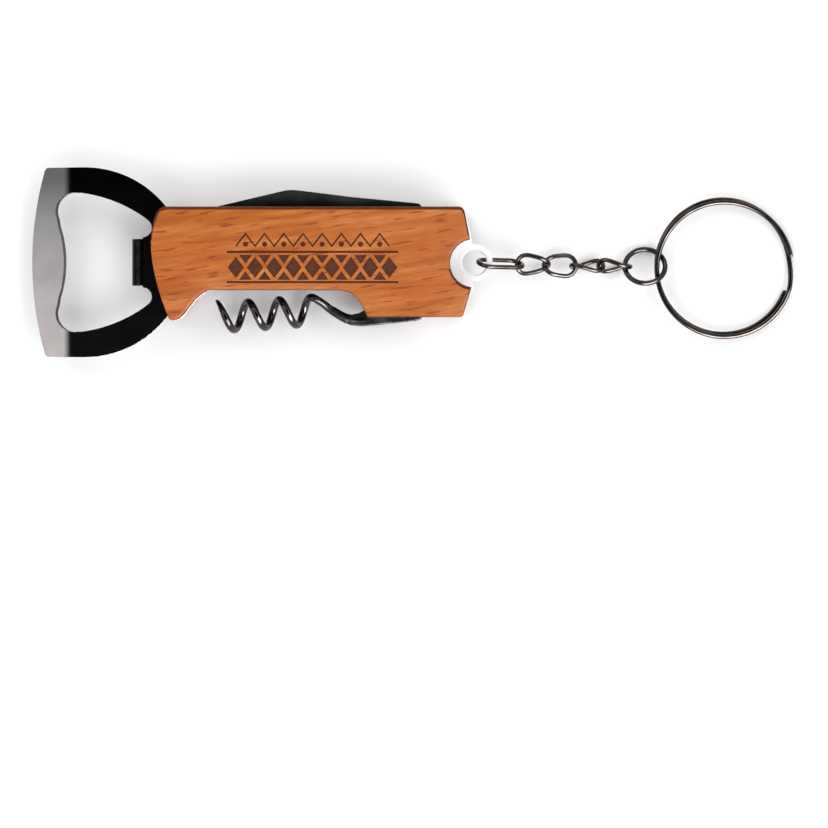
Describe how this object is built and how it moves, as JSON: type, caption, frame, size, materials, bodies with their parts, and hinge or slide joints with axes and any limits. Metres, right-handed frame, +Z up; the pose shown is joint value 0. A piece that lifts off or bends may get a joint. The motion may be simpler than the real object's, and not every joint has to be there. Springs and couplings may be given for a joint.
{
  "type": "souvenir bottle opener",
  "caption": "Folding keychain bottle opener with wooden scales, a cap-lifter head, knife blade, corkscrew, link chain and split key ring.",
  "frame": {"origin": "on the surface that the tool lies on, under the middle of its box", "axes": "+X from the opener head to the key ring, +Y towards the blade's side, +Z up through the front scale"},
  "size_m": [0.1796, 0.0448, 0.0142],
  "materials": {
    "wood": "oiled beech with short dark flecks, satin",
    "liner": "bright steel sheet",
    "plate": "polished dark nickel plate, satin on the front bar",
    "blade": "dark polished steel",
    "pins": "plain steel",
    "springs": "spring steel",
    "worm": "gunmetal plated wire",
    "tang": "gunmetal plated sheet",
    "chain": "gunmetal plated wire",
    "key_ring": "gunmetal plated wire"
  },
  "bodies": {
    "root": {"back_scale": "wood", "front_scale": "wood", "back_liner": "liner", "front_liner": "liner", "opener_plate": "plate", "blade_pivot": "pins", "blade_spring": "springs", "corkscrew_pivot": "pins", "corkscrew_spring": "springs", "frame_rivets": "pins"},
    "blade": {"blade": "blade"},
    "corkscrew": {"corkscrew_worm": "worm", "corkscrew_tang": "tang"},
    "chain_link_1": {"chain_link_1": "chain"},
    "chain_link_2": {"chain_link_2": "chain"},
    "chain_link_3": {"chain_link_3": "chain"},
    "chain_link_4": {"chain_link_4": "chain"},
    "chain_link_5": {"chain_link_5": "chain"},
    "jump_ring": {"jump_ring": "chain"},
    "key_ring": {"key_ring": "key_ring"}
  },
  "joints": [
    {"name": "blade_fold", "type": "hinge", "parent": "root", "child": "blade", "pos_m": [0.0045, 0.008, 0.009], "axis": [0, 0, -1], "range_deg": [0, 180]},
    {"name": "corkscrew_fold", "type": "hinge", "parent": "root", "child": "corkscrew", "pos_m": [0.0045, -0.008, 0.0054], "axis": [0, 0, 1], "range_deg": [0, 90]},
    {"name": "eyelet_swing", "type": "hinge", "parent": "root", "child": "chain_link_1", "pos_m": [0.0178, -0.0001, 0.0073], "axis": [0, 1, 0], "range_deg": [-45, 45]},
    {"name": "link_2_swing", "type": "hinge", "parent": "chain_link_1", "child": "chain_link_2", "pos_m": [0.02544, -0.00038, 0.00381], "axis": [-0.3762, 0.3486, -0.8585], "range_deg": [-45, 45]},
    {"name": "link_3_swing", "type": "hinge", "parent": "chain_link_2", "child": "chain_link_3", "pos_m": [0.0318, -0.0006, 0.00291], "axis": [0.1426, 0.3372, 0.9305], "range_deg": [-45, 45]},
    {"name": "link_4_swing", "type": "hinge", "parent": "chain_link_3", "child": "chain_link_4", "pos_m": [0.03823, -0.00082, 0.00302], "axis": [0.0313, 0.9843, 0.1736], "range_deg": [-45, 45]},
    {"name": "link_5_swing", "type": "hinge", "parent": "chain_link_4", "child": "chain_link_5", "pos_m": [0.04466, -0.00071, 0.00313], "axis": [0, -0.7072, 0.707], "range_deg": [-45, 45]},
    {"name": "jump_ring_swing", "type": "hinge", "parent": "chain_link_5", "child": "jump_ring", "pos_m": [0.05108, -0.00094, 0.00313], "axis": [-0.0073, -0.2078, 0.9781], "range_deg": [-25, 25]},
    {"name": "key_ring_swing", "type": "hinge", "parent": "jump_ring", "child": "key_ring", "pos_m": [0.05722, -0.00079, 0.00313], "axis": [0, 1, 0], "range_deg": [-75, 75]}
  ]
}
